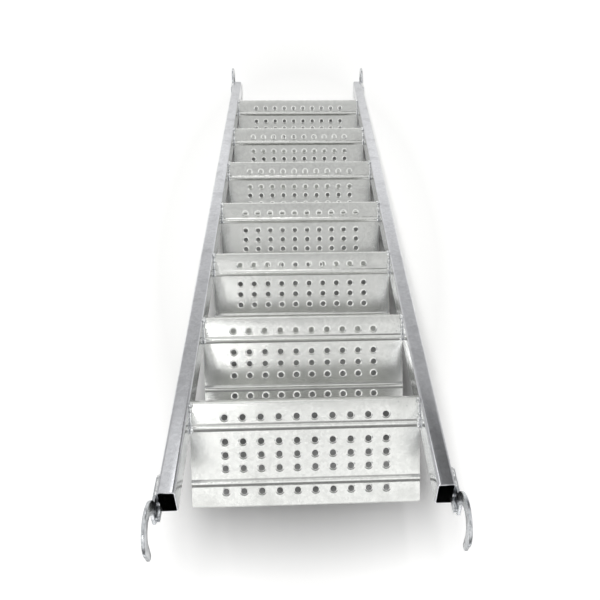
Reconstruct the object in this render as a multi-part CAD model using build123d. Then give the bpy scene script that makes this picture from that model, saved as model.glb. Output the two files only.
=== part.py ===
from build123d import *
import math
import os

# Hanging stair unit of seven perforated treads between two rectangular tube stringers.
# Frame: treads level, +Z up, +X to the right seen from the foot end looking down on the treads turned
# half round, -Y towards the upper end, origin on the axis of the upper ledger midway between the hooks.

# Stringers
INSIDE_WIDTH = 420.0          # between the inner side faces
TUBE_WIDTH = 30.0             # along X
TUBE_DEPTH = 50.0             # square to the front face
TUBE_WALL = 2.0
TUBE_CORNER = 3.0
STRINGER_LENGTH = 1840.0
SLOPE = 56.0                  # stringers from the level, degrees

# Treads
TREAD_COUNT = 7
TREAD_RISE = 202.0
FIRST_NOSING = 195.0          # upper cut to the first nosing, along the stringer
TREAD_DEPTH = 197.0
SHEET = 2.0
FLANGE = 18.0                 # folded edges, from the walking face down
BEND = 3.0                    # outer radius of the folded edges
RIB_CENTRES = (47.0, 150.5)   # behind the nosing
RIB_BASE = 15.0
RIB_CREST = 7.0
RIB_HEIGHT = 4.0
BACK_CORNER = 6.0
FLANGE_INSET = 8.0            # back flange short of the tread ends

# Grip holes
HOLES_IN_ROW = 10
HOLE_PITCH = 32.8
HOLE_ACROSS = 11.0
HOLE_ROWS = (28.5, 73.5, 98.5, 123.5, 167.0)

# Hooks
LEDGER_RADIUS = 24.15
LEDGER_CLEARANCE = 0.35
LEDGER_BEYOND = 56.0          # ledger axis beyond the stringer cut
LEDGER_BELOW = 16.0           # ledger axis below the front face
HOOK_PLATE = 6.0
HOOK_BAND = 20.0              # arm width round the mouth
HOOK_TIP_WIDTH = 12.0
HOOK_TIP_BELOW = 46.0         # outer tip below the front face
FINGER_WIDTH = 9.0
FINGER_TIP_BELOW = 42.0
HOOK_FOOT = 45.0              # overlap along the stringer
HOOK_EDGE = 7.0               # plate edge inside the tube edge
FOOT_CHAMFER = 7.0
TIP_CORNER = 3.0
BODY_BELOW = 34.0             # plate between finger and tube
LUG_THICKNESS = 7.0
LUG_WIDTH = 10.0
LUG_REACH = 32.0
LUG_START = 4.0

# Welds
TREAD_BEAD = 5.0
BEAD_END = 1.5
HOOK_BEAD = 4.0
HOOK_BEAD_START = 3.0

HALF_INSIDE = INSIDE_WIDTH / 2
HALF_OVERALL = HALF_INSIDE + TUBE_WIDTH
MOUTH_RADIUS = LEDGER_RADIUS + LEDGER_CLEARANCE
ARCH_RADIUS = MOUTH_RADIUS + HOOK_BAND
SIN = math.sin(math.radians(SLOPE))
COS = math.cos(math.radians(SLOPE))
TREAD_SPACING = TREAD_RISE / SIN
DOWN = Vector(0, COS, -SIN)
FRONT = Vector(0, SIN, COS)
CUT_ORIGIN = DOWN * LEDGER_BEYOND + FRONT * LEDGER_BELOW


def along(x, down, front):
    """Point at x across, down along the stringer from its upper cut, front of its front face."""
    point = CUT_ORIGIN + DOWN * down + FRONT * front
    return Vector(x, point.Y, point.Z)


def side_plane(x, end):
    """Sketch plane at x; its first axis runs from a stringer cut back into the stringer."""
    if end == "upper":
        return Plane(origin=along(x, 0, 0), x_dir=DOWN, z_dir=(1, 0, 0))
    return Plane(origin=along(x, STRINGER_LENGTH, 0), x_dir=DOWN * -1, z_dir=(-1, 0, 0))


def extrude_from(plane, sketch, start, stop):
    """Solid of the sketch between two X positions."""
    direction = plane.z_dir.X
    solid = extrude(plane * sketch, (stop - start) * direction)
    return solid


def polygon(points):
    return make_face(Polyline(*points, close=True))


def stringer(side):
    centre = side * (HALF_INSIDE + TUBE_WIDTH / 2)
    plane = Plane(origin=along(centre, 0, -TUBE_DEPTH / 2), x_dir=(1, 0, 0), z_dir=DOWN)
    outer = RectangleRounded(TUBE_WIDTH, TUBE_DEPTH, TUBE_CORNER)
    inner = RectangleRounded(TUBE_WIDTH - 2 * TUBE_WALL, TUBE_DEPTH - 2 * TUBE_WALL, TUBE_CORNER - TUBE_WALL)
    return extrude(plane * (outer - inner), STRINGER_LENGTH)


def bend_points(centre_back, centre_z, radius, start, stop):
    """Three-sided bend between two angles in degrees."""
    points = []
    for step in range(4):
        angle = math.radians(start + (stop - start) * step / 3)
        points.append((centre_back + radius * math.cos(angle), centre_z + radius * math.sin(angle)))
    return points


def tread_section():
    """Outline of the folded sheet: distance behind the nosing, height over the walking face."""
    half_base = RIB_BASE / 2
    half_crest = RIB_CREST / 2
    shift = SHEET * math.tan(math.radians(22.5))
    top = [(0, -FLANGE)]
    top += bend_points(BEND, -BEND, BEND, 180, 90)
    for rib in RIB_CENTRES:
        top += [(rib - half_base, 0), (rib - half_crest, RIB_HEIGHT)]
        top += [(rib + half_crest, RIB_HEIGHT), (rib + half_base, 0)]
    top += bend_points(TREAD_DEPTH - BEND, -BEND, BEND, 90, 0)
    top += [(TREAD_DEPTH, -FLANGE)]
    under = [(TREAD_DEPTH - SHEET, -FLANGE)]
    under += bend_points(TREAD_DEPTH - BEND, -BEND, BEND - SHEET, 0, 90)
    for rib in reversed(RIB_CENTRES):
        under += [(rib + half_base - shift, -SHEET), (rib + half_crest - shift, RIB_HEIGHT - SHEET)]
        under += [(rib - half_crest + shift, RIB_HEIGHT - SHEET), (rib - half_base + shift, -SHEET)]
    under += bend_points(BEND, -BEND, BEND - SHEET, 90, 180)
    under += [(SHEET, -FLANGE)]
    return top + under


def back_corner_tool(side):
    """Piece cut away to round a back corner and to set the back flange in from the end."""
    end = side * HALF_INSIDE
    corner = Pos(end, -TREAD_DEPTH) * Rectangle(2 * BACK_CORNER, 2 * BACK_CORNER)
    keep = Pos(end - side * BACK_CORNER, -TREAD_DEPTH + BACK_CORNER) * Circle(BACK_CORNER)
    round_off = Pos(0, 0, -SHEET - BEND) * extrude(corner - keep, 2 * (SHEET + BEND))
    inset_box = Box(2 * FLANGE_INSET, 2 * (BEND + BACK_CORNER), FLANGE)
    return round_off, Pos(end, -TREAD_DEPTH, -SHEET - FLANGE / 2) * inset_box


def tread():
    """One tread with its nosing on the X axis and its walking face at Z 0."""
    section_plane = Plane(origin=(-HALF_INSIDE, 0, 0), x_dir=(0, -1, 0), z_dir=(-1, 0, 0))
    sheet = extrude(section_plane * polygon(tread_section()), -INSIDE_WIDTH)
    for side in (-1, 1):
        for tool in back_corner_tool(side):
            sheet = sheet - tool
    first = -(HOLES_IN_ROW - 1) * HOLE_PITCH / 2
    hole = RegularPolygon(HOLE_ACROSS / 2, 6, major_radius=False)
    spots = [(first + column * HOLE_PITCH, -row) for row in HOLE_ROWS for column in range(HOLES_IN_ROW)]
    holes = Sketch() + [Pos(x, y) * hole for x, y in spots]
    return sheet - extrude(Pos(0, 0, -2 * SHEET) * holes, 4 * SHEET)


def tread_origin(index):
    """Middle of the nosing of a tread, counted from the upper end."""
    return along(0, FIRST_NOSING + index * TREAD_SPACING, 0)


def tread_welds(index):
    """Beads between one tread's nosing band and both stringers."""
    beads = []
    start = BEND + BEAD_END
    run = RIB_CENTRES[0] - RIB_BASE / 2 - start
    plane = Plane(origin=(0, -start, 0), x_dir=(1, 0, 0), z_dir=(0, -1, 0))
    for side in (-1, 1):
        face = side * HALF_INSIDE
        section = [(face, 0), (face - side * TREAD_BEAD, 0), (face, plane_up(plane) * TREAD_BEAD)]
        beads.append(Pos(*tread_origin(index)) * extrude(plane * polygon(section), run))
    return beads


def plane_up(plane):
    """Sign of the plane's second axis against +Z."""
    return 1 if plane.y_dir.Z > 0 else -1


def hook_outline():
    """Hook plate; first coordinate into the stringer from its cut, second in front of its face."""
    centre = (-LEDGER_BEYOND, -LEDGER_BELOW)
    edge = -HOOK_EDGE
    meet = centre[0] + math.sqrt(ARCH_RADIUS ** 2 - (edge - centre[1]) ** 2)
    arch_top = (centre[0], centre[1] + ARCH_RADIUS)
    outer_side = (centre[0] - ARCH_RADIUS, centre[1])
    inner_side = (centre[0] - MOUTH_RADIUS, centre[1])
    mouth_top = (centre[0], centre[1] + MOUTH_RADIUS)
    finger_side = (centre[0] + MOUTH_RADIUS, centre[1])
    back_edge = HOOK_EDGE - TUBE_DEPTH
    rising = math.radians(45)
    on_arch = (centre[0] + ARCH_RADIUS * math.cos(rising), centre[1] + ARCH_RADIUS * math.sin(rising))
    chamfer = FOOT_CHAMFER
    tip_corner = TIP_CORNER
    finger_back = finger_side[0] + FINGER_WIDTH
    lines = [
        Line((HOOK_FOOT - chamfer, edge), (meet, edge)),
        ThreePointArc((meet, edge), on_arch, arch_top),
        ThreePointArc(arch_top, (centre[0] - ARCH_RADIUS * math.cos(rising), on_arch[1]), outer_side),
        Polyline(outer_side, (inner_side[0] - HOOK_TIP_WIDTH, -HOOK_TIP_BELOW + tip_corner),
                 (inner_side[0] - HOOK_TIP_WIDTH + tip_corner, -HOOK_TIP_BELOW),
                 (inner_side[0] - tip_corner, -HOOK_TIP_BELOW),
                 (inner_side[0], -HOOK_TIP_BELOW + tip_corner), inner_side),
        ThreePointArc(inner_side, mouth_top, finger_side),
        Polyline(finger_side, (finger_side[0], -FINGER_TIP_BELOW + tip_corner),
                 (finger_side[0] + tip_corner, -FINGER_TIP_BELOW),
                 (finger_back - tip_corner, -FINGER_TIP_BELOW),
                 (finger_back, -FINGER_TIP_BELOW + tip_corner),
                 (finger_back, -BODY_BELOW), (0, -BODY_BELOW),
                 (chamfer, back_edge), (HOOK_FOOT - chamfer, back_edge),
                 (HOOK_FOOT, back_edge + chamfer), (HOOK_FOOT, edge - chamfer),
                 (HOOK_FOOT - chamfer, edge)),
    ]
    return make_face(Curve() + lines)


def hook(side, end):
    near = HALF_OVERALL
    plane = side_plane(side * near, end)
    solid = extrude(plane * hook_outline(), HOOK_PLATE * side * plane.z_dir.X)
    return solid


def lug(side):
    """Short rounded lug on the inner face of an upper hook plate, beside the tube end."""
    plane = side_plane(side * HALF_OVERALL, "upper")
    low = -BODY_BELOW
    length = LUG_REACH - LUG_START
    outline = Pos(-LUG_START - length / 2, low + LUG_WIDTH / 2) * RectangleRounded(length, LUG_WIDTH, 4.0)
    return extrude(plane * outline, -LUG_THICKNESS * side * plane.z_dir.X)


def hook_welds(side, end):
    """Beads along the front and back edges of one hook plate's foot."""
    beads = []
    base = side_plane(0, end)
    front = base.y_dir
    for edge, way, begin in ((-HOOK_EDGE, 1, HOOK_BEAD_START),
                             (HOOK_EDGE - TUBE_DEPTH, -1, HOOK_BEAD_START + FOOT_CHAMFER)):
        point = base.origin + base.x_dir * begin + front * edge
        plane = Plane(origin=(side * HALF_OVERALL, point.Y, point.Z), x_dir=(side, 0, 0), z_dir=base.x_dir)
        rise = 1 if plane.y_dir.dot(front) * way > 0 else -1
        section = [(0, 0), (HOOK_BEAD, 0), (0, rise * HOOK_BEAD)]
        length = HOOK_FOOT - FOOT_CHAMFER - BEAD_END - begin
        beads.append(extrude(plane * polygon(section), length))
    return beads


def save(name, shapes):
    shape = shapes if not isinstance(shapes, list) else Compound(children=shapes)
    shape.label = name
    export_step(shape, f"parts/{name}.step")


os.makedirs("parts", exist_ok=True)
for side, word in ((-1, "left"), (1, "right")):
    save(f"{word}_stringer", stringer(side))
    for end in ("upper", "lower"):
        save(f"{end}_{word}_hook", hook(side, end))
        save(f"{end}_{word}_hook_welds", hook_welds(side, end))
    save(f"upper_{word}_lug", lug(side))
pattern = tread()
for index in range(TREAD_COUNT):
    save(f"tread_{index + 1}", Pos(*tread_origin(index)) * pattern)
    save(f"tread_{index + 1}_welds", tread_welds(index))
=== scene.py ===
"""Dresses a hanging scaffold stair unit: galvanised treads, stringers, ledger hooks and weld beads."""

import logging
import math
import random
from dataclasses import dataclass, field
from enum import Enum

import bmesh
import bpy
from mathutils import Euler, Matrix, Vector


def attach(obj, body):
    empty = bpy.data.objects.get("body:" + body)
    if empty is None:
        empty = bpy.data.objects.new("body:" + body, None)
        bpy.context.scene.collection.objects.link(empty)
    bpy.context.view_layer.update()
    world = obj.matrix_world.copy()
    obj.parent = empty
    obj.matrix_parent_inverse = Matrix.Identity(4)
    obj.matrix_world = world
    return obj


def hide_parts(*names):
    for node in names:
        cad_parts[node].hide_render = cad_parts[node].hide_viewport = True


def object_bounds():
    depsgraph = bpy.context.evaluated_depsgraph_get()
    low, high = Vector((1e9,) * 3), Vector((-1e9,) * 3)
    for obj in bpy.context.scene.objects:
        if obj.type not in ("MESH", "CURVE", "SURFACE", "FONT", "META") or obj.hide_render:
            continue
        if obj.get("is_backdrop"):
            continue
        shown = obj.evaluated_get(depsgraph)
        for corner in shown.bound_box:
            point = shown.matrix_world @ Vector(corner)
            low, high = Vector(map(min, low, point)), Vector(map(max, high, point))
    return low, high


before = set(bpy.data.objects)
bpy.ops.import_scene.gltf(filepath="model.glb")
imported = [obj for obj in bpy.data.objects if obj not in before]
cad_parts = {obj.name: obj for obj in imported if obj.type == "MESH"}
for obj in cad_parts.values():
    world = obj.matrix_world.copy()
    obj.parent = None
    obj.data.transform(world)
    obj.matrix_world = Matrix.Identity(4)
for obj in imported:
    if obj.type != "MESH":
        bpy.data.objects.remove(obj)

LOG = logging.getLogger("stair_unit")
MM = 0.001
MM_IN_METRE = 1000
BODY = "root"
STEEL = "galvanised_steel"
ZINC = "weld_zinc"

Flat = tuple[float, float]
Spot = tuple[float, float, float]
Run = tuple[Vector, Vector]

# The stair's main sizes in millimetres, the same as its solids have. Rib slopes, tube corners, hole rims and
# weld drops are finer here than in the solids and stand with their own classes.
INSIDE_WIDTH = 420.0
TUBE_WIDTH = 30.0
TUBE_DEPTH = 50.0
STRINGER_LENGTH = 1840.0
SLOPE = math.radians(56.0)
TREAD_COUNT = 7
TREAD_RISE = 202.0
FIRST_NOSING = 195.0
LEDGER_BEYOND = 56.0
LEDGER_BELOW = 16.0
HALF_INSIDE = INSIDE_WIDTH / 2
HALF_OVERALL = HALF_INSIDE + TUBE_WIDTH

# The stringers' own directions and their upper cut. The origin is on the upper ledger's axis.
DOWN = Vector((0.0, math.cos(SLOPE), -math.sin(SLOPE)))
FRONT = Vector((0.0, math.sin(SLOPE), math.cos(SLOPE)))
CUT_ORIGIN = DOWN * LEDGER_BEYOND + FRONT * LEDGER_BELOW

# Corners of one piece nearer than this are one corner, in metres.
JOIN_WITHIN = 1e-6
# Sockets that take a ramp's two edges and its level at each.
RAMP = ("From Min", "From Max", "To Min", "To Max")


class Side(Enum):
    """Side of the stair, as its sign along X."""

    LEFT = -1
    RIGHT = 1

    @property
    def word(self) -> str:
        """Lower-case name for node names."""
        return self.name.lower()


class End(Enum):
    """End of a stringer, named as it hangs."""

    UPPER = "upper"
    LOWER = "lower"


class Surface(Enum):
    """Kinds of galvanised surface on the stair, by how the steel was made."""

    SHEET = "galvanised_steel_sheet"
    TUBE = "galvanised_steel_tube"
    PLATE = "galvanised_cut_plate"
    WELD = "galvanised_weld_bead"


class Mark(Enum):
    """Line across a tread that its weld metal is measured from."""

    NOSING = "nosing"
    FIRST_RIB = "first rib"


class Task(Enum):
    """What a lamp lights."""

    FLOOR = "floor"
    METAL = "metal"


def along(x: float, down: float, front: float) -> Vector:
    """Find a point on a stringer's own axes.

    Args:
        x: Place across the stair in millimetres.
        down: Distance along the stringer from its upper cut.
        front: Distance in front of its front face.

    Returns:
        The point in millimetres in the row frame.
    """
    point = CUT_ORIGIN + DOWN * down + FRONT * front
    return Vector((x, point.y, point.z))


def tread_nosing(index: int) -> Vector:
    """Middle of a tread's nosing in millimetres, counted from the upper end."""
    return along(0.0, FIRST_NOSING + index * TREAD_RISE / math.sin(SLOPE), 0.0)


def arc_points(centre: Flat, radius: float, start: float, stop: float, steps: int) -> list[Flat]:
    """Lay points along an arc.

    Args:
        centre: Middle of the arc.
        radius: Its radius.
        start: Angle of the first point, in degrees.
        stop: Angle of the last point.
        steps: How many pieces the arc is cut into.

    Returns:
        One point more than there are steps.
    """
    turns = [math.radians(start + (stop - start) * i / steps) for i in range(steps + 1)]
    return [(centre[0] + radius * math.cos(t), centre[1] + radius * math.sin(t)) for t in turns]


def to_linear(hex_colour: str) -> tuple[float, float, float, float]:
    """Turn an sRGB hex colour to linear values.

    Args:
        hex_colour: Colour as "#RRGGBB".

    Returns:
        Linear red, green, blue and an alpha of 1.
    """
    values = [int(hex_colour[i:i + 2], 16) / 255 for i in (1, 3, 5)]
    linear = [v / 12.92 if v <= 0.04045 else ((v + 0.055) / 1.055) ** 2.4 for v in values]
    return (linear[0], linear[1], linear[2], 1.0)


def add_node(tree: bpy.types.NodeTree, kind: str, inputs: dict | None = None,
             **settings: str) -> bpy.types.Node:
    """Add a node with its settings, values and links.

    Args:
        tree: Node tree that receives it.
        kind: Blender's type name.
        inputs: Socket name or index to a value or to another node's output socket.
        settings: Attributes of the node.

    Returns:
        The new node.
    """
    node = tree.nodes.new(kind)
    for name, value in settings.items():
        setattr(node, name, value)
    for key, value in (inputs or {}).items():
        if isinstance(value, bpy.types.NodeSocket):
            tree.links.new(value, node.inputs[key])
        else:
            node.inputs[key].default_value = value
    return node


def shape_tree(name: str, inputs: dict[str, str]) -> bpy.types.NodeTree:
    """Start a geometry node tree with its named inputs.

    Args:
        name: Name of the tree.
        inputs: Input name to the kind of its socket, such as "Float".

    Returns:
        The tree, with geometry in and out and no nodes yet.
    """
    tree = bpy.data.node_groups.new(name, "GeometryNodeTree")
    tree.interface.new_socket("Geometry", in_out="INPUT", socket_type="NodeSocketGeometry")
    for label, kind in inputs.items():
        tree.interface.new_socket(label, in_out="INPUT", socket_type=f"NodeSocket{kind}")
    tree.interface.new_socket("Geometry", in_out="OUTPUT", socket_type="NodeSocketGeometry")
    return tree


def empty_nodes(owner: bpy.types.Material | bpy.types.World) -> bpy.types.NodeTree:
    """Give a material or a world an empty node tree.

    Args:
        owner: The material or world.

    Returns:
        Its node tree.
    """
    owner.use_nodes = True
    owner.node_tree.nodes.clear()
    return owner.node_tree


@dataclass(frozen=True)
class GalvanisedFinish:
    """Hot-dip galvanised mild steel, with sizes of its pattern in millimetres.

    The eye sees pale metal with a soft sparkle of zinc crystals, duller clouds among them and a faint grain.
    """

    surface: Surface
    light: str
    dark: str
    cloud: str
    roughness: Flat
    spangle: float
    clouds: float
    pits: float
    bump: float
    pit_depth: float = 0.3
    cloud_ramp: Flat = (0.52, 0.72)
    rough_ramp: Flat = (0.3, 0.7)
    cloud_detail: Flat = (4.0, 0.6)
    pit_detail: Flat = (3.0, 0.7)

    def build(self) -> bpy.types.Material:
        """Make the material on Object coordinates.

        Returns:
            The material, for pieces that are in metres at the origin.
        """
        material = bpy.data.materials.new(self.surface.value)
        tree = empty_nodes(material)
        spot = add_node(tree, "ShaderNodeTexCoord").outputs["Object"]
        # Crystals of zinc: flat cells, each turned a little and so a little lighter or darker.
        spangle = add_node(tree, "ShaderNodeTexVoronoi", {
            "Vector": spot, "Scale": MM_IN_METRE / self.spangle,
        }).outputs["Color"]
        tone = add_node(tree, "ShaderNodeSeparateColor", {"Color": spangle}).outputs["Red"]
        # Dull grey clouds where the zinc cooled slowly.
        detail, rough = self.cloud_detail
        cloud = add_node(tree, "ShaderNodeTexNoise", {
            "Vector": spot, "Scale": MM_IN_METRE / self.clouds, "Detail": detail, "Roughness": rough,
        }).outputs["Fac"]
        # Pits as large as the real ones, too fine to see one by one: together they fray the reflections.
        detail, rough = self.pit_detail
        pits = add_node(tree, "ShaderNodeTexNoise", {
            "Vector": spot, "Scale": MM_IN_METRE / self.pits, "Detail": detail, "Roughness": rough,
        }).outputs["Fac"]
        zinc = add_node(tree, "ShaderNodeMix", {
            0: tone, 6: to_linear(self.dark), 7: to_linear(self.light),
        }, data_type="RGBA").outputs[2]
        patch = add_node(tree, "ShaderNodeMapRange", {
            "Value": cloud, **dict(zip(RAMP, self.cloud_ramp)),
        }).outputs["Result"]
        colour = add_node(tree, "ShaderNodeMix", {
            0: patch, 6: zinc, 7: to_linear(self.cloud),
        }, data_type="RGBA").outputs[2]
        dull = add_node(tree, "ShaderNodeMapRange", {
            "Value": cloud, **dict(zip(RAMP, (*self.rough_ramp, *self.roughness))),
        }).outputs["Result"]
        bump = add_node(tree, "ShaderNodeBump", {
            "Strength": self.bump, "Distance": self.pit_depth * MM, "Height": pits,
        }).outputs["Normal"]
        shader = add_node(tree, "ShaderNodeBsdfPrincipled", {
            "Base Color": colour, "Metallic": 1.0, "Roughness": dull, "Normal": bump,
        })
        add_node(tree, "ShaderNodeOutputMaterial", {"Surface": shader.outputs["BSDF"]})
        return material


FINISHES = (
    # Rolled sheet, dipped after folding: near-white and even, so broad faces mirror the room softly.
    GalvanisedFinish(
        Surface.SHEET, light="#E4E5E2", dark="#DBDCD9", cloud="#D2D3D0",
        roughness=(0.19, 0.26), spangle=5.0, clouds=60.0, pits=0.9, bump=0.05,
    ),
    # Rolled and welded tube: cooler, darker and smoother than the sheet, so its faces hold clear streaks.
    GalvanisedFinish(
        Surface.TUBE, light="#C6C7CA", dark="#BBBCBF", cloud="#ADAEB1",
        roughness=(0.12, 0.20), spangle=5.0, clouds=45.0, pits=0.8, bump=0.06,
    ),
    # Thick plate cut to shape: small crystals that differ more, in a greyer and duller skin.
    GalvanisedFinish(
        Surface.PLATE, light="#CDCFD1", dark="#B4B7BA", cloud="#979A9E",
        roughness=(0.18, 0.28), spangle=4.0, clouds=18.0, pits=0.7, bump=0.10,
    ),
    # Weld metal under thick zinc: bright drops beside grey ones, with a rough skin that glitters.
    GalvanisedFinish(
        Surface.WELD, light="#F4F5F5", dark="#C4C6C6", cloud="#9FA1A1",
        roughness=(0.18, 0.30), spangle=3.0, clouds=9.0, pits=0.8, bump=0.3,
    ),
)


@dataclass
class Shell:
    """A growing mesh of faces, in millimetres, that becomes one piece."""

    points: list[Spot] = field(default_factory=list)
    faces: list[tuple[int, ...]] = field(default_factory=list)

    def add(self, *corners: Spot) -> None:
        """Add one face.

        Args:
            corners: Its corners in order.
        """
        first = len(self.points)
        self.points.extend(tuple(c) for c in corners)
        self.faces.append(tuple(range(first, first + len(corners))))

    def bridge(self, low: list[Spot], high: list[Spot]) -> None:
        """Join two closed loops with a band of faces.

        Args:
            low: Points of one loop.
            high: As many points of the other.
        """
        for i in range(len(low)):
            j = (i + 1) % len(low)
            self.add(low[i], low[j], high[j], high[i])

    def slab(self, near: list[Spot], far: list[Spot]) -> None:
        """Add a flat block: two equal outlines and the edge between them.

        Args:
            near: Outline of one face.
            far: Outline of the other face.
        """
        self.add(*near)
        self.add(*far)
        self.bridge(near, far)

    def piece(self, name: str, material: bpy.types.Material, smooth_angle: float = 40.0) -> bpy.types.Object:
        """Merge the corners and make the object.

        Args:
            name: Name of the piece.
            material: Its finish.
            smooth_angle: Edges sharper than this stay sharp, in degrees.

        Returns:
            A mesh object at the origin, in metres.
        """
        work = bmesh.new()
        verts = [work.verts.new(Vector(p) * MM) for p in self.points]
        for face in self.faces:
            work.faces.new([verts[i] for i in face])
        bmesh.ops.remove_doubles(work, verts=work.verts, dist=JOIN_WITHIN)
        bmesh.ops.recalc_face_normals(work, faces=work.faces)
        mesh = bpy.data.meshes.new(name)
        work.to_mesh(mesh)
        work.free()
        mesh.shade_smooth()
        mesh.set_sharp_from_angle(angle=math.radians(smooth_angle))
        return place(name, mesh, material)


def place(name: str, mesh: bpy.types.Mesh, material: bpy.types.Material) -> bpy.types.Object:
    """Link a mesh as an object at the origin.

    Args:
        name: Name of the object.
        mesh: Its mesh, in metres.
        material: Its only material.

    Returns:
        The object.
    """
    mesh.materials.clear()
    mesh.materials.append(material)
    piece = bpy.data.objects.new(name, mesh)
    bpy.context.scene.collection.objects.link(piece)
    return piece


def bake(piece: bpy.types.Object) -> None:
    """Turn a piece's modifiers into its own plain mesh.

    Args:
        piece: Object whose modifiers are set and then removed.
    """
    bpy.context.view_layer.update()
    evaluated = piece.evaluated_get(bpy.context.evaluated_depsgraph_get())
    mesh = bpy.data.meshes.new_from_object(evaluated)
    piece.modifiers.clear()
    piece.data = mesh


def run_nodes(piece: bpy.types.Object, tree: bpy.types.NodeTree, values: dict) -> None:
    """Give a piece a node tree, set its named inputs by socket identifier and bake the result.

    Args:
        piece: Object that carries the tree's input geometry.
        tree: The geometry node tree.
        values: Input name to value.
    """
    modifier = piece.modifiers.new(tree.name, "NODES")
    modifier.node_group = tree
    sockets = [item for item in tree.interface.items_tree if item.item_type == "SOCKET"]
    identifiers = {socket.name: socket.identifier for socket in sockets if socket.in_out == "INPUT"}
    for name, value in values.items():
        modifier[identifiers[name]] = value
    bake(piece)


def soften(piece: bpy.types.Object, width: float, steps: int = 3, from_angle: float = 40.0,
           smooth_angle: float = 50.0) -> None:
    """Round a piece's sharp edges and bake it.

    Args:
        piece: The piece.
        width: Width of the rounding in millimetres.
        steps: Faces across the rounding.
        from_angle: Edges sharper than this are rounded, in degrees.
        smooth_angle: Edges sharper than this then stay sharp.
    """
    bevel = piece.modifiers.new("edge", "BEVEL")
    bevel.width = width * MM
    bevel.segments = steps
    bevel.limit_method = "ANGLE"
    bevel.angle_limit = math.radians(from_angle)
    bevel.harden_normals = False
    bake(piece)
    piece.data.shade_smooth()
    piece.data.set_sharp_from_angle(angle=math.radians(smooth_angle))


def hand_over(piece: bpy.types.Object, slot: str, *nodes: str) -> None:
    """Tie a finished piece to the stair and hide the solids it stands for.

    Args:
        piece: The finished piece.
        slot: The record's material slot. Not used.
        nodes: Names of the solids it replaces.
    """
    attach(piece, BODY)
    if nodes:
        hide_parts(*nodes)
    solids = ", ".join(nodes) or "nothing"
    LOG.info("%s: %d faces, stands for %s", piece.name, len(piece.data.polygons), solids)


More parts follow.
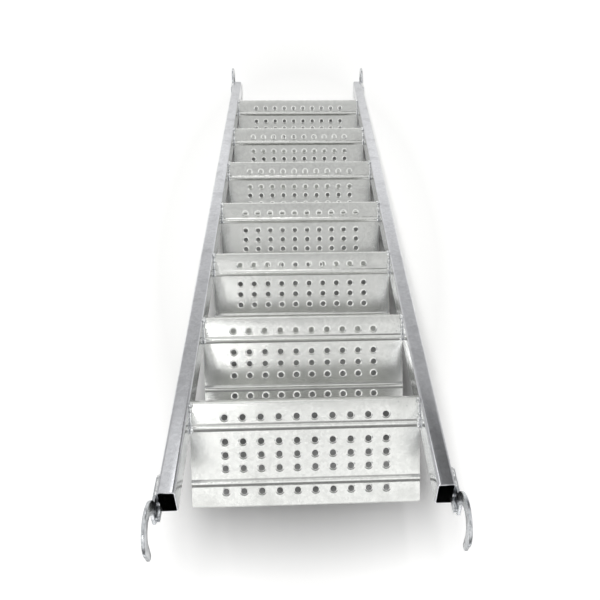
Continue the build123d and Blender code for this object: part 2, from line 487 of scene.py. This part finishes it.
@dataclass
class Tread:
    """Folded sheet tread with two pressed ribs and rows of raised grip holes."""

    depth: float = 197.0
    sheet: float = 2.0
    flange: float = 18.0
    flange_inset: float = 8.0
    bend: float = 3.0
    bend_steps: int = 6
    corner: float = 6.0
    # Shares of the way from a back corner's start to the fold where the sheet's width is taken.
    corner_shares: Flat = (0.0, 0.5)
    ribs: Flat = (47.0, 150.5)
    # Distance back from a rib's middle, and height: steep towards the nosing, a longer slope behind.
    rib_shape: tuple[Flat, ...] = ((-7.5, 0.0), (-6.8, 0.6), (-4.5, 3.1), (-3.7, 3.75),
                                   (-2.6, 4.0), (-0.2, 4.0), (1.3, 3.75), (7.5, 0.0))
    rib_height: float = 4.0
    # The underside runs beside the top by these leans, so the wall keeps its thickness on the slopes.
    slope_lean: float = 0.8
    flat_lean: float = 0.4
    lean_turns_at: float = -0.2
    rows: tuple[float, ...] = (28.5, 73.5, 98.5, 123.5, 167.0)
    row_half: float = 9.0
    pitch: float = 32.8
    holes: int = 10
    smooth_angle: float = 27.0

    def half_width(self, back: float) -> float:
        """Find the sheet's half width, which is less in the rounded back corners.

        Args:
            back: Distance behind the nosing.

        Returns:
            The half width in millimetres.
        """
        into_corner = min(self.corner, max(0.0, back - (self.depth - self.corner)))
        return HALF_INSIDE - self.corner + math.sqrt(self.corner ** 2 - into_corner ** 2)

    def fold(self, centre: float, start: float, stop: float) -> list[tuple[Flat, Flat]]:
        """Pair the outer and inner points of a folded edge.

        Args:
            centre: Distance of the fold's axis behind the nosing.
            start: Angle of the first pair, in degrees.
            stop: Angle of the last pair.

        Returns:
            Pairs of a top and an under point.
        """
        axis = (centre, -self.bend)
        outer = arc_points(axis, self.bend, start, stop, self.bend_steps)
        inner = arc_points(axis, self.bend - self.sheet, start, stop, self.bend_steps)
        return list(zip(outer, inner))

    def marks(self) -> list[Spot]:
        """Mark the flat of the sheet where a row of holes or a rib begins, bends or ends.

        Returns:
            Distance behind the nosing, height and the underside's lean at each, nosing to back.
        """
        found = [(row + sign * self.row_half, 0.0, 0.0) for row in self.rows for sign in (-1, 1)]
        for rib in self.ribs:
            for offset, height in self.rib_shape:
                lean = self.slope_lean if 0.0 < height < self.rib_height else self.flat_lean
                found.append((rib + offset, height, lean if offset < self.lean_turns_at else -lean))
        return sorted(found)

    def profile(self) -> list[tuple[Flat, Flat, float]]:
        """Lay out the folded sheet from the nosing's flange to the back flange.

        Returns:
            Pairs of a top and an under point, each with the sheet's half width there.
        """
        pairs = [((0.0, -self.flange), (self.sheet, -self.flange), HALF_INSIDE)]
        for top, under in self.fold(self.bend, 180, 90):
            pairs.append((top, under, HALF_INSIDE))
        for back, height, lean in self.marks():
            pairs.append(((back, height), (back + lean, height - self.sheet), HALF_INSIDE))
        for share in self.corner_shares:
            back = self.depth - self.corner + share * (self.corner - self.bend)
            pairs.append(((back, 0.0), (back, -self.sheet), self.half_width(back)))
        flange_half = HALF_INSIDE - self.flange_inset
        for top, under in self.fold(self.depth - self.bend, 90, 0):
            pairs.append((top, under, max(self.half_width(top[0]), flange_half)))
        pairs.append(((self.depth, -self.flange), (self.depth - self.sheet, -self.flange), flange_half))
        return pairs

    def build(self, index: int, material: bpy.types.Material) -> bpy.types.Object:
        """Make one tread's sheet, open where the rows of holes go.

        Args:
            index: Tread number from the upper end, from 0.
            material: Finish of the sheet.

        Returns:
            The piece.
        """
        origin = tread_nosing(index)
        sheet = Shell()
        pairs = self.profile()
        reach = self.pitch * self.holes / 2
        row_strips = {(row - self.row_half, row + self.row_half) for row in self.rows}

        def at(x: float, point: Flat) -> Spot:
            """Point of the profile at one place across the stair."""
            return (x, origin.y - point[0], origin.z + point[1])

        for (top_a, under_a, wide_a), (top_b, under_b, wide_b) in zip(pairs, pairs[1:]):
            for a, b in ((top_a, top_b), (under_a, under_b)):
                if (top_a[0], top_b[0]) in row_strips:
                    for sign in (-1, 1):
                        sheet.add(at(sign * wide_a, a), at(sign * reach, a),
                                  at(sign * reach, b), at(sign * wide_b, b))
                else:
                    sheet.add(at(-wide_a, a), at(wide_a, a), at(wide_b, b), at(-wide_b, b))
            for sign in (-1, 1):
                sheet.add(at(sign * wide_a, top_a), at(sign * wide_b, top_b),
                          at(sign * wide_b, under_b), at(sign * wide_a, under_a))
        for top, under, wide in (pairs[0], pairs[-1]):
            sheet.add(at(-wide, top), at(wide, top), at(wide, under), at(-wide, under))
        return sheet.piece(f"tread_{index + 1}_sheet", material, self.smooth_angle)


@dataclass
class GripHoles:
    """Round holes pressed up from below, one small cell of sheet each."""

    tread: Tread
    edge_radius: float = 5.8
    crest_radius: float = 6.5
    foot_radius: float = 8.9
    rim_height: float = 1.1
    edge_drop: float = 0.3
    # Where points stand on the cell's edges beside its corners, as a share of the row's half width.
    edge_share: float = 0.6
    # Less than the rim's slope, so the flat sheet round the rim stays flat to the eye.
    smooth_angle: float = 23.5
    # Corners of neighbouring cells nearer than this are one corner, in metres.
    join_within: float = 1e-5

    def cell(self, material: bpy.types.Material) -> bpy.types.Object:
        """Make the cell: a rectangle of sheet with its raised rim and hole.

        Args:
            material: Finish of the sheet.

        Returns:
            The cell as an object round the origin.
        """
        half_x, half_y = self.tread.pitch / 2, self.tread.row_half
        spread = half_y * self.edge_share
        half_edge = [(half_x, 0.0), (half_x, spread), (half_x, half_y),
                     (spread, half_y), (-spread, half_y), (-half_x, half_y)]
        edge = half_edge + [(-x, -y) for x, y in half_edge]
        turns = [math.tau * i / len(edge) for i in range(len(edge))]
        depth = -self.tread.sheet
        rings = ((self.foot_radius, 0.0), (self.crest_radius, self.rim_height),
                 (self.edge_radius, self.rim_height - self.edge_drop), (self.foot_radius, depth))
        loops = [[(x, y, 0.0) for x, y in edge]]
        for radius, height in rings:
            loops.append([(radius * math.cos(t), radius * math.sin(t), height) for t in turns])
        loops.append([(x, y, depth) for x, y in edge])
        cell = Shell()
        for low, high in zip(loops, loops[1:]):
            cell.bridge(low, high)
        return cell.piece("grip_cell", material, self.smooth_angle)

    def tree(self) -> bpy.types.NodeTree:
        """Build the node tree that repeats the cell along each row.

        Returns:
            The tree. It takes one point for the first hole of each row.
        """
        tree = shape_tree("grip_hole_rows", {
            "Holes in row": "Int", "Hole pitch": "Float", "Cell": "Object", "Finish": "Material",
        })
        given = add_node(tree, "NodeGroupInput").outputs
        step = add_node(tree, "ShaderNodeCombineXYZ", {"X": given["Hole pitch"]})
        row = add_node(tree, "GeometryNodeMeshLine", {
            "Count": given["Holes in row"], "Offset": step.outputs["Vector"],
        })
        spread = add_node(tree, "GeometryNodeInstanceOnPoints", {
            "Points": given["Geometry"], "Instance": row.outputs["Mesh"],
        })
        spots = add_node(tree, "GeometryNodeRealizeInstances", {"Geometry": spread.outputs["Instances"]})
        cell = add_node(tree, "GeometryNodeObjectInfo", {"Object": given["Cell"]})
        holes = add_node(tree, "GeometryNodeInstanceOnPoints", {
            "Points": spots.outputs["Geometry"], "Instance": cell.outputs["Geometry"],
        })
        real = add_node(tree, "GeometryNodeRealizeInstances", {"Geometry": holes.outputs["Instances"]})
        joined = add_node(tree, "GeometryNodeMergeByDistance", {
            "Geometry": real.outputs["Geometry"], "Distance": self.join_within,
        })
        dressed = add_node(tree, "GeometryNodeSetMaterial", {
            "Geometry": joined.outputs["Geometry"], "Material": given["Finish"],
        })
        add_node(tree, "NodeGroupOutput", {"Geometry": dressed.outputs["Geometry"]})
        return tree

    def build(self, material: bpy.types.Material) -> bpy.types.Object:
        """Make every grip hole of the stair as one mesh.

        Args:
            material: Finish of the sheet.

        Returns:
            The piece.
        """
        first = -(self.tread.holes - 1) * self.tread.pitch / 2
        starts = []
        for index in range(TREAD_COUNT):
            origin = tread_nosing(index)
            starts += [Vector((first, origin.y - row, origin.z)) * MM for row in self.tread.rows]
        mesh = bpy.data.meshes.new("grip_holes")
        mesh.from_pydata(starts, [], [])
        holes = place("grip_holes", mesh, material)
        cell = self.cell(material)
        run_nodes(holes, self.tree(), {
            "Holes in row": self.tread.holes, "Hole pitch": self.tread.pitch * MM,
            "Cell": cell, "Finish": material,
        })
        bpy.data.objects.remove(cell)
        return holes


@dataclass(frozen=True)
class WeldBeads:
    """Lumpy weld metal laid as drops along straight cores, then dipped in zinc."""

    radius: float
    spacing: float = 2.6
    seed: int = 5
    drop_segments: int = 8
    drop_rings: int = 5
    # Smallest and largest share of a drop's own size along each of its axes.
    smallest: Spot = (0.7, 0.7, 0.6)
    largest: Spot = (1.2, 1.2, 1.05)
    # Drops are turned at random up to about a full turn, in radians.
    most_turn: float = 6.3

    def tree(self, name: str) -> bpy.types.NodeTree:
        """Build the node tree that lays drops of metal along each edge.

        Args:
            name: Name of the tree.

        Returns:
            The tree. It takes one edge for the core of each bead.
        """
        tree = shape_tree(name, {"Spacing": "Float", "Radius": "Float", "Seed": "Int", "Finish": "Material"})
        given = add_node(tree, "NodeGroupInput").outputs
        curve = add_node(tree, "GeometryNodeMeshToCurve", {"Mesh": given["Geometry"]})
        spots = add_node(tree, "GeometryNodeCurveToPoints", {
            "Curve": curve.outputs["Curve"], "Length": given["Spacing"],
        }, mode="LENGTH")
        drop = add_node(tree, "GeometryNodeMeshUVSphere", {
            "Segments": self.drop_segments, "Rings": self.drop_rings, "Radius": given["Radius"],
        })
        size = add_node(tree, "FunctionNodeRandomValue", {
            "Min": self.smallest, "Max": self.largest, "Seed": given["Seed"],
        }, data_type="FLOAT_VECTOR")
        turn = add_node(tree, "FunctionNodeRandomValue", {
            "Min": (0.0, 0.0, 0.0), "Max": (self.most_turn,) * 3, "Seed": given["Seed"],
        }, data_type="FLOAT_VECTOR")
        drops = add_node(tree, "GeometryNodeInstanceOnPoints", {
            "Points": spots.outputs["Points"], "Instance": drop.outputs["Mesh"],
            "Rotation": turn.outputs["Value"], "Scale": size.outputs["Value"],
        })
        real = add_node(tree, "GeometryNodeRealizeInstances", {"Geometry": drops.outputs["Instances"]})
        soft = add_node(tree, "GeometryNodeSetShadeSmooth", {0: real.outputs["Geometry"]})
        dressed = add_node(tree, "GeometryNodeSetMaterial", {
            "Geometry": soft.outputs[0], "Material": given["Finish"],
        })
        add_node(tree, "NodeGroupOutput", {"Geometry": dressed.outputs["Geometry"]})
        return tree

    def build(self, name: str, runs: list[Run], material: bpy.types.Material) -> bpy.types.Object:
        """Lay the beads.

        Args:
            name: Name of the piece.
            runs: Start and end of each bead's core, in millimetres.
            material: Finish of the beads.

        Returns:
            One mesh with all the beads.
        """
        points = [p * MM for run in runs for p in run]
        mesh = bpy.data.meshes.new(name)
        mesh.from_pydata(points, [(i, i + 1) for i in range(0, len(points), 2)], [])
        beads = place(name, mesh, material)
        run_nodes(beads, self.tree(name + "_tree"), {
            "Spacing": self.spacing * MM, "Radius": self.radius * MM, "Seed": self.seed, "Finish": material,
        })
        return beads


@dataclass(frozen=True)
class WeldCore:
    """Straight core of one weld at a tread's side, in millimetres.

    Start and stop each hold a mark across the tread, a distance behind it and a height above the sheet.
    """

    inset: float
    start: tuple[Mark, float, float]
    stop: tuple[Mark, float, float]


@dataclass
class TreadWelds:
    """Weld metal where the nosing bands meet both stringers: beads, blobs at their ends and spatter."""

    tread: Tread
    bead: WeldBeads = WeldBeads(radius=3.6)
    blob: WeldBeads = WeldBeads(radius=4.4, seed=3)
    drop: WeldBeads = WeldBeads(radius=1.2, spacing=5.0, seed=23)
    # One bead beside the flat of the band and one that climbs the first rib.
    bead_cores: tuple[WeldCore, ...] = (
        WeldCore(1.2, (Mark.NOSING, 4.0, 0.8), (Mark.FIRST_RIB, -8.0, 0.8)),
        WeldCore(2.0, (Mark.FIRST_RIB, -7.0, 1.0), (Mark.FIRST_RIB, 6.0, 2.0)),
    )
    blob_cores: tuple[WeldCore, ...] = (
        WeldCore(3.0, (Mark.NOSING, 2.0, 0.6), (Mark.NOSING, 6.5, 1.2)),
        WeldCore(3.0, (Mark.FIRST_RIB, -2.0, 0.6), (Mark.FIRST_RIB, 4.5, 1.2)),
    )
    spatter_seed: int = 7
    spatter_drops: int = 6
    spatter_inset: float = 6.0
    spatter_throw: float = 9.0
    spatter_reach: float = 34.0
    spatter_from: float = 5.0
    spatter_before_rib: float = 9.0
    spatter_height: float = 0.1
    # Shorter than the drops' spacing, so each core holds one drop.
    spatter_core: float = 0.5

    def runs(self, cores: tuple[WeldCore, ...]) -> list[Run]:
        """Lay cores at both sides of every tread.

        Args:
            cores: The cores of one tread's side.

        Returns:
            Start and end points in millimetres.
        """
        marks = {Mark.NOSING: 0.0, Mark.FIRST_RIB: self.tread.ribs[0]}
        found = []
        for index in range(TREAD_COUNT):
            origin = tread_nosing(index)
            for side in Side:
                for core in cores:
                    x = side.value * (HALF_INSIDE - core.inset)
                    start, stop = [Vector((x, origin.y - (marks[mark] + behind), origin.z + height))
                                   for mark, behind, height in (core.start, core.stop)]
                    found.append((start, stop))
        return found

    def spatter_runs(self) -> list[Run]:
        """Throw small drops on the sheet beside each bead, fewer further in.

        Returns:
            Start and end points of the drops' short cores, in millimetres.
        """
        pick = random.Random(self.spatter_seed)
        last = self.tread.ribs[0] - self.spatter_before_rib
        found = []
        for index in range(TREAD_COUNT):
            origin = tread_nosing(index)
            for side in Side:
                for _ in range(self.spatter_drops):
                    thrown = min(pick.expovariate(1 / self.spatter_throw), self.spatter_reach)
                    x = side.value * (HALF_INSIDE - self.spatter_inset - thrown)
                    y = origin.y - pick.uniform(self.spatter_from, last)
                    spot = Vector((x, y, origin.z + self.spatter_height))
                    found.append((spot, spot + Vector((0.0, self.spatter_core, 0.0))))
        return found

    def build(self, material: bpy.types.Material) -> None:
        """Make and hand over the three pieces.

        Args:
            material: Finish of the weld metal.
        """
        beads = self.bead.build("tread_weld_beads", self.runs(self.bead_cores), material)
        hand_over(beads, ZINC, *[f"tread_{i + 1}_welds" for i in range(TREAD_COUNT)])
        hand_over(self.blob.build("weld_end_blobs", self.runs(self.blob_cores), material), ZINC)
        hand_over(self.drop.build("weld_spatter", self.spatter_runs(), material), ZINC)


@dataclass
class Stringer:
    """Rectangular tube with rounded corners and square open ends."""

    side: Side
    wall: float = 2.0
    corner: float = 5.0
    corner_steps: int = 6
    end_soft: float = 0.8

    def loop(self, inset: float) -> list[Flat]:
        """Lay a rounded rectangle inside the tube's outline.

        Args:
            inset: Distance inside the outline.

        Returns:
            Points round the tube's centre.
        """
        radius = self.corner - inset
        half_x = (TUBE_WIDTH - 2 * inset) / 2 - radius
        half_y = (TUBE_DEPTH - 2 * inset) / 2 - radius
        points = []
        for quarter, (sx, sy) in enumerate(((1, 1), (-1, 1), (-1, -1), (1, -1))):
            start = 90 * quarter
            points += arc_points((sx * half_x, sy * half_y), radius, start, start + 90, self.corner_steps)
        return points

    def build(self, material: bpy.types.Material) -> bpy.types.Object:
        """Make the tube.

        Args:
            material: Finish of the tube.

        Returns:
            The piece.
        """
        middle = self.side.value * (HALF_INSIDE + TUBE_WIDTH / 2)
        # Distance along the tube and inset: the outer skin with its softened ends, then back along the bore.
        profiles = ((0.0, self.end_soft), (self.end_soft, 0.0),
                    (STRINGER_LENGTH - self.end_soft, 0.0), (STRINGER_LENGTH, self.end_soft),
                    (STRINGER_LENGTH, self.wall), (0.0, self.wall))
        rings = [[along(middle + x, down, y - TUBE_DEPTH / 2) for x, y in self.loop(inset)]
                 for down, inset in profiles]
        tube = Shell()
        for low, high in zip(rings, rings[1:] + rings[:1]):
            tube.bridge(low, high)
        return tube.piece(f"{self.side.word}_stringer_tube", material)


@dataclass
class LedgerHook:
    """Curved plate that hooks over a ledger tube, welded to the outer face of a stringer."""

    side: Side
    end: End
    mouth: float = 24.5
    mouth_steps: int = 36
    band: float = 20.0
    band_steps: int = 40
    plate: float = 6.0
    tip_width: float = 12.0
    tip_below: float = 46.0
    tip_cut: float = 3.0
    finger_width: float = 9.0
    finger_below: float = 42.0
    foot: float = 45.0
    edge: float = 7.0
    body_below: float = 34.0
    chamfer: float = 7.0
    edge_soft: float = 2.0
    bead_out: float = 1.0
    bead_off_edge: float = 0.8
    bead_from_cut: float = 3.0
    bead_past_chamfer: float = 2.0

    def arc(self, radius: float, start: float, stop: float, steps: int) -> list[Flat]:
        """Points round the ledger's axis, from one angle to another in degrees."""
        return arc_points((-LEDGER_BEYOND, -LEDGER_BELOW), radius, start, stop, steps)

    def outline(self) -> list[Flat]:
        """Draw the plate's edge: the arch, the tip, the mouth, the finger and the foot.

        Returns:
            Points by their distance along the stringer from its cut and in front of its face.
        """
        outer = self.mouth + self.band
        meet = math.degrees(math.asin((LEDGER_BELOW - self.edge) / outer))
        mouth_x = -LEDGER_BEYOND - self.mouth
        tip_x = mouth_x - self.tip_width
        finger_x = -LEDGER_BEYOND + self.mouth
        back_x = finger_x + self.finger_width
        back_edge = self.edge - TUBE_DEPTH
        cut = self.tip_cut
        tip, finger = -self.tip_below, -self.finger_below
        points = self.arc(outer, meet, 180.0, self.band_steps)
        points += [(tip_x, tip + cut), (tip_x + cut, tip), (mouth_x - cut, tip), (mouth_x, tip + cut)]
        points += self.arc(self.mouth, 180.0, 0.0, self.mouth_steps)
        points += [(finger_x, finger + cut), (finger_x + cut, finger),
                   (back_x - cut, finger), (back_x, finger + cut)]
        points += [(back_x, -self.body_below), (0.0, -self.body_below), (self.chamfer, back_edge),
                   (self.foot - self.chamfer, back_edge), (self.foot, back_edge + self.chamfer),
                   (self.foot, -self.edge - self.chamfer), (self.foot - self.chamfer, -self.edge)]
        return points

    def at(self, x: float, point: Flat) -> Vector:
        """Turn an outline point at one place across the stair to the row frame."""
        down = point[0] if self.end is End.UPPER else STRINGER_LENGTH - point[0]
        return along(x, down, point[1])

    def build(self, material: bpy.types.Material) -> bpy.types.Object:
        """Make the plate with its softened edges.

        Args:
            material: Finish of the plate.

        Returns:
            The piece.
        """
        near = self.side.value * HALF_OVERALL
        far = near + self.side.value * self.plate
        plate = Shell()
        plate.slab(*[[self.at(x, p) for p in self.outline()] for x in (near, far)])
        piece = plate.piece(f"{self.end.value}_{self.side.word}_hook_plate", material)
        soften(piece, self.edge_soft)
        return piece

    def weld_runs(self) -> list[Run]:
        """Lay the cores of the beads along both edges of the plate's foot.

        Returns:
            Start and end points in millimetres.
        """
        x = self.side.value * (HALF_OVERALL + self.bead_out)
        stop = self.foot - self.chamfer
        edges = ((self.bead_from_cut, -self.edge + self.bead_off_edge),
                 (self.chamfer + self.bead_past_chamfer, self.edge - TUBE_DEPTH - self.bead_off_edge))
        return [(self.at(x, (start, front)), self.at(x, (stop, front))) for start, front in edges]


@dataclass
class Lug:
    """Short rounded lug beside an upper hook."""

    side: Side
    start: float = 4.0
    reach: float = 32.0
    width: float = 10.0
    thickness: float = 7.0
    body_below: float = 34.0
    corner: float = 4.0
    corner_steps: int = 6
    edge_soft: float = 0.8

    def build(self, material: bpy.types.Material) -> bpy.types.Object:
        """Make the lug.

        Args:
            material: Finish of the lug.

        Returns:
            The piece.
        """
        near = self.side.value * HALF_OVERALL
        far = near - self.side.value * self.thickness
        right, left = -self.start - self.corner, -self.reach + self.corner
        high = -self.body_below + self.width - self.corner
        low = -self.body_below + self.corner
        outline = []
        for quarter, centre in enumerate(((right, high), (left, high), (left, low), (right, low))):
            start = 90 * quarter
            outline += arc_points(centre, self.corner, start, start + 90, self.corner_steps)
        block = Shell()
        block.slab(*[[along(x, down, front) for down, front in outline] for x in (near, far)])
        piece = block.piece(f"upper_{self.side.word}_lug_block", material)
        soften(piece, self.edge_soft)
        return piece


@dataclass(frozen=True)
class Viewpoint:
    """The photograph's viewing angle, found by fitting the stair's own sizes to the picture."""

    lens: float = 40.003
    film_width: float = 36.0
    shift: Flat = (-0.0497, 0.0249)
    station: Spot = (-0.0080, 0.4096, 1.0007)
    # Turn about X, Y and Z in degrees, from looking straight down.
    turn: Spot = (-4.7554, -2.6797, -0.7760)
    sight_end: float = 60.0

    def build(self) -> None:
        """Place the camera."""
        data = bpy.data.cameras.new("camera")
        data.lens, data.sensor_width = self.lens, self.film_width
        data.shift_x, data.shift_y = self.shift
        data.clip_end = self.sight_end
        eye = bpy.data.objects.new("camera", data)
        bpy.context.scene.collection.objects.link(eye)
        turn = Euler([math.radians(angle) for angle in self.turn]).to_matrix().to_4x4()
        eye.matrix_world = Matrix.Translation(self.station) @ turn
        bpy.context.scene.camera = eye


@dataclass(frozen=True)
class PaleFloor:
    """Matt painted floor, near white: it takes the stair's shadow and fades to plain white further out."""

    half: float = 9.0
    colour: str = "#F2F2F1"
    # The glow ends in an oval: the floor is drawn in by these shares along X and Y, then shifted.
    oval: Flat = (0.9, 0.6)
    shift: Flat = (0.0, -0.18)
    # Metres from the middle where the glow begins and is full, and how strong it is there.
    glow: tuple[float, ...] = (0.50, 0.95, 0.0, 0.60)

    def finish(self, height: float) -> bpy.types.Material:
        """Make the floor's material.

        Args:
            height: Height of the floor in metres.

        Returns:
            A matt material with a little light of its own away from the stair.
        """
        material = bpy.data.materials.new("pale_floor")
        tree = empty_nodes(material)
        spot = add_node(tree, "ShaderNodeTexCoord").outputs["Object"]
        drawn_in = add_node(tree, "ShaderNodeMapping", {
            "Vector": spot, "Location": (*self.shift, -height), "Scale": (*self.oval, 1.0),
        }).outputs["Vector"]
        reach = add_node(tree, "ShaderNodeVectorMath", {0: drawn_in}, operation="LENGTH").outputs["Value"]
        glow = add_node(tree, "ShaderNodeMapRange", {
            "Value": reach, **dict(zip(RAMP, self.glow)),
        }).outputs["Result"]
        matt = add_node(tree, "ShaderNodeBsdfDiffuse", {"Color": to_linear(self.colour)})
        shine = add_node(tree, "ShaderNodeEmission", {"Color": to_linear("#FFFFFF"), "Strength": glow})
        both = add_node(tree, "ShaderNodeAddShader", {0: matt.outputs["BSDF"], 1: shine.outputs["Emission"]})
        add_node(tree, "ShaderNodeOutputMaterial", {"Surface": both.outputs["Shader"]})
        return material

    def build(self, height: float) -> None:
        """Lay the floor.

        Args:
            height: Its height in metres.
        """
        mesh = bpy.data.meshes.new("floor")
        corners = [(x * self.half, y * self.half, height) for x, y in ((-1, -1), (1, -1), (1, 1), (-1, 1))]
        mesh.from_pydata(corners, [], [(0, 1, 2, 3)])
        material = self.finish(height)
        place("floor", mesh, material)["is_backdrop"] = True


@dataclass(frozen=True)
class Room:
    """The room that the metal mirrors, as brightness by direction.

    The walls are dim low down and bright above. Those beside the stair turn bright lower down. The one
    behind the stair's near end stays dim further up, over one low bright strip. The ceiling is brightest
    over the near end, and its two lights leave the middle a little greyer. One wall is pale at the far left,
    and one narrow tall window stands straight ahead.

    Each ramp holds two edges, as parts of a direction, and the level at each, or 0 and 1 where it has none.
    """

    walls: tuple[float, ...] = (0.28, 0.50, 0.22, 1.18)
    behind: tuple[float, ...] = (-0.35, -0.75)
    behind_lift: float = -0.22
    beside_lift: tuple[float, ...] = (0.55, 0.85, 0.0, 0.33)
    strip: tuple[float, ...] = (0.16, 0.10, 0.0, 1.5)
    ceiling: tuple[float, ...] = (-0.32, 0.04, 1.30, 0.66)
    lights: tuple[float, ...] = (0.0, 0.12, 0.80, 1.06)
    overhead: tuple[float, ...] = (0.84, 0.96)
    pale_wall: tuple[float, ...] = (0.90, 0.95, 0.0, 0.9)
    pale_wall_way: Spot = (-0.42, 0.91, 0.0)
    window: tuple[float, ...] = (0.994, 0.998, 0.0, 2.4)
    window_way: Spot = (-0.02, 1.0, 0.0)
    soft_light: float = 0.04

    def brightness(self, tree: bpy.types.NodeTree) -> bpy.types.NodeSocket:
        """Work out how bright the room is in each direction.

        Args:
            tree: The world's node tree.

        Returns:
            The brightness, where 1 is white.
        """
        way = add_node(tree, "ShaderNodeTexCoord").outputs["Generated"]
        part = add_node(tree, "ShaderNodeSeparateXYZ", {"Vector": way}).outputs
        across = add_node(tree, "ShaderNodeMath", {0: part["X"]}, operation="ABSOLUTE").outputs["Value"]
        facing = [add_node(tree, "ShaderNodeVectorMath", {
            0: way, 1: Vector(toward).normalized(),
        }, operation="DOT_PRODUCT").outputs["Value"] for toward in (self.pale_wall_way, self.window_way)]
        behind, beside, strip, ceiling, lights, overhead, pale_wall, window = [
            add_node(tree, "ShaderNodeMapRange", {"Value": source, **dict(zip(RAMP, ramp))}).outputs["Result"]
            for source, ramp in (
                (part["Y"], self.behind), (across, self.beside_lift), (part["Z"], self.strip),
                (part["Y"], self.ceiling), (across, self.lights), (part["Z"], self.overhead),
                (facing[0], self.pale_wall), (facing[1], self.window),
            )]
        lowered = add_node(tree, "ShaderNodeMath", {
            0: behind, 1: self.behind_lift, 2: part["Z"],
        }, operation="MULTIPLY_ADD").outputs["Value"]
        height = add_node(tree, "ShaderNodeMath", {0: lowered, 1: beside}, operation="ADD").outputs["Value"]
        walls = add_node(tree, "ShaderNodeMapRange", {
            "Value": height, **dict(zip(RAMP, self.walls)),
        }).outputs["Result"]
        around = add_node(tree, "ShaderNodeMath", {
            0: behind, 1: strip, 2: walls,
        }, operation="MULTIPLY_ADD").outputs["Value"]
        roof = add_node(tree, "ShaderNodeMath", {
            0: ceiling, 1: lights,
        }, operation="MULTIPLY").outputs["Value"]
        level = add_node(tree, "ShaderNodeMix", {0: overhead, 2: around, 3: roof}).outputs[0]
        # The tubes' round corners catch the window as a bright line.
        for shine in (pale_wall, window):
            level = add_node(tree, "ShaderNodeMath", {0: level, 1: shine}, operation="ADD").outputs["Value"]
        return level

    def build(self) -> None:
        """Make the world: the room where it is seen or mirrored, and one soft light everywhere else."""
        world = bpy.data.worlds.new("room")
        bpy.context.scene.world = world
        tree = empty_nodes(world)
        white = to_linear("#FFFFFF")
        seen = add_node(tree, "ShaderNodeBackground", {"Color": white, "Strength": self.brightness(tree)})
        soft = add_node(tree, "ShaderNodeBackground", {"Color": white, "Strength": self.soft_light})
        path = add_node(tree, "ShaderNodeLightPath").outputs
        direct = add_node(tree, "ShaderNodeMath", {
            0: path["Is Camera Ray"], 1: path["Is Glossy Ray"],
        }, operation="MAXIMUM").outputs["Value"]
        mirror = add_node(tree, "ShaderNodeMath", {
            0: direct, 1: path["Is Transmission Ray"],
        }, operation="MAXIMUM").outputs["Value"]
        mixed = add_node(tree, "ShaderNodeMixShader", {
            "Fac": mirror, 1: soft.outputs["Background"], 2: seen.outputs["Background"],
        })
        add_node(tree, "ShaderNodeOutputWorld", {"Surface": mixed.outputs["Shader"]})


@dataclass(frozen=True)
class Lamp:
    """One soft rectangular lamp, with its places and size in metres and its power in watts."""

    name: str
    task: Task
    station: Spot
    aim: Spot
    size: Flat
    power: float

    def build(self) -> None:
        """Hang the lamp and turn it to its aim."""
        data = bpy.data.lights.new(self.name, "AREA")
        data.shape = "RECTANGLE"
        data.size, data.size_y = self.size
        data.energy = self.power
        lamp = bpy.data.objects.new(self.name, data)
        lamp.location = self.station
        way = Vector(self.aim) - Vector(self.station)
        lamp.rotation_euler = way.to_track_quat("-Z", "Y").to_euler()
        lamp.visible_camera = False
        lamp.visible_glossy = self.task is Task.METAL
        lamp.visible_diffuse = self.task is Task.FLOOR
        bpy.context.scene.collection.objects.link(lamp)


@dataclass(frozen=True)
class Studio:
    """Camera, pale floor, room and lamps round the stair."""

    viewpoint: Viewpoint = Viewpoint()
    floor: PaleFloor = PaleFloor()
    # The floor lies this far under the stair, in metres.
    floor_gap: float = 0.001
    room: Room = Room()
    lamps: tuple[Lamp, ...] = (
        Lamp("overhead", Task.FLOOR, station=(-0.04, 0.58, 1.15), aim=(0.0, 0.2, -1.6),
             size=(0.16, 0.34), power=88.0),
        Lamp("slant", Task.METAL, station=(-1.1, -0.31, 4.0), aim=(0.0, 0.5, -0.7),
             size=(0.6, 0.6), power=6.0),
    )

    def build(self, lowest: float) -> None:
        """Set up the whole studio.

        Args:
            lowest: Height of the stair's lowest point in metres.
        """
        bpy.context.scene.view_settings.view_transform = "Standard"
        self.viewpoint.build()
        self.floor.build(lowest - self.floor_gap)
        self.room.build()
        for lamp in self.lamps:
            lamp.build()


def main() -> None:
    logging.basicConfig(level=logging.INFO)
    solid_box = [list(c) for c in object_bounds()]
    finish = {kind.surface: kind.build() for kind in FINISHES}
    tread = Tread()
    for index in range(TREAD_COUNT):
        hand_over(tread.build(index, finish[Surface.SHEET]), STEEL, f"tread_{index + 1}")
    hand_over(GripHoles(tread).build(finish[Surface.SHEET]), STEEL)
    TreadWelds(tread).build(finish[Surface.WELD])
    hook_runs, hook_nodes = [], []
    for side in Side:
        hand_over(Stringer(side).build(finish[Surface.TUBE]), STEEL, f"{side.word}_stringer")
        hand_over(Lug(side).build(finish[Surface.PLATE]), STEEL, f"upper_{side.word}_lug")
        for end in End:
            hook = LedgerHook(side, end)
            hand_over(hook.build(finish[Surface.PLATE]), STEEL, f"{end.value}_{side.word}_hook")
            hook_runs += hook.weld_runs()
            hook_nodes.append(f"{end.value}_{side.word}_hook_welds")
    hook_beads = WeldBeads(radius=2.8, seed=11).build("hook_weld_beads", hook_runs, finish[Surface.WELD])
    hand_over(hook_beads, ZINC, *hook_nodes)
    Studio().build(solid_box[0][2])


if __name__ == "__main__":
    main()
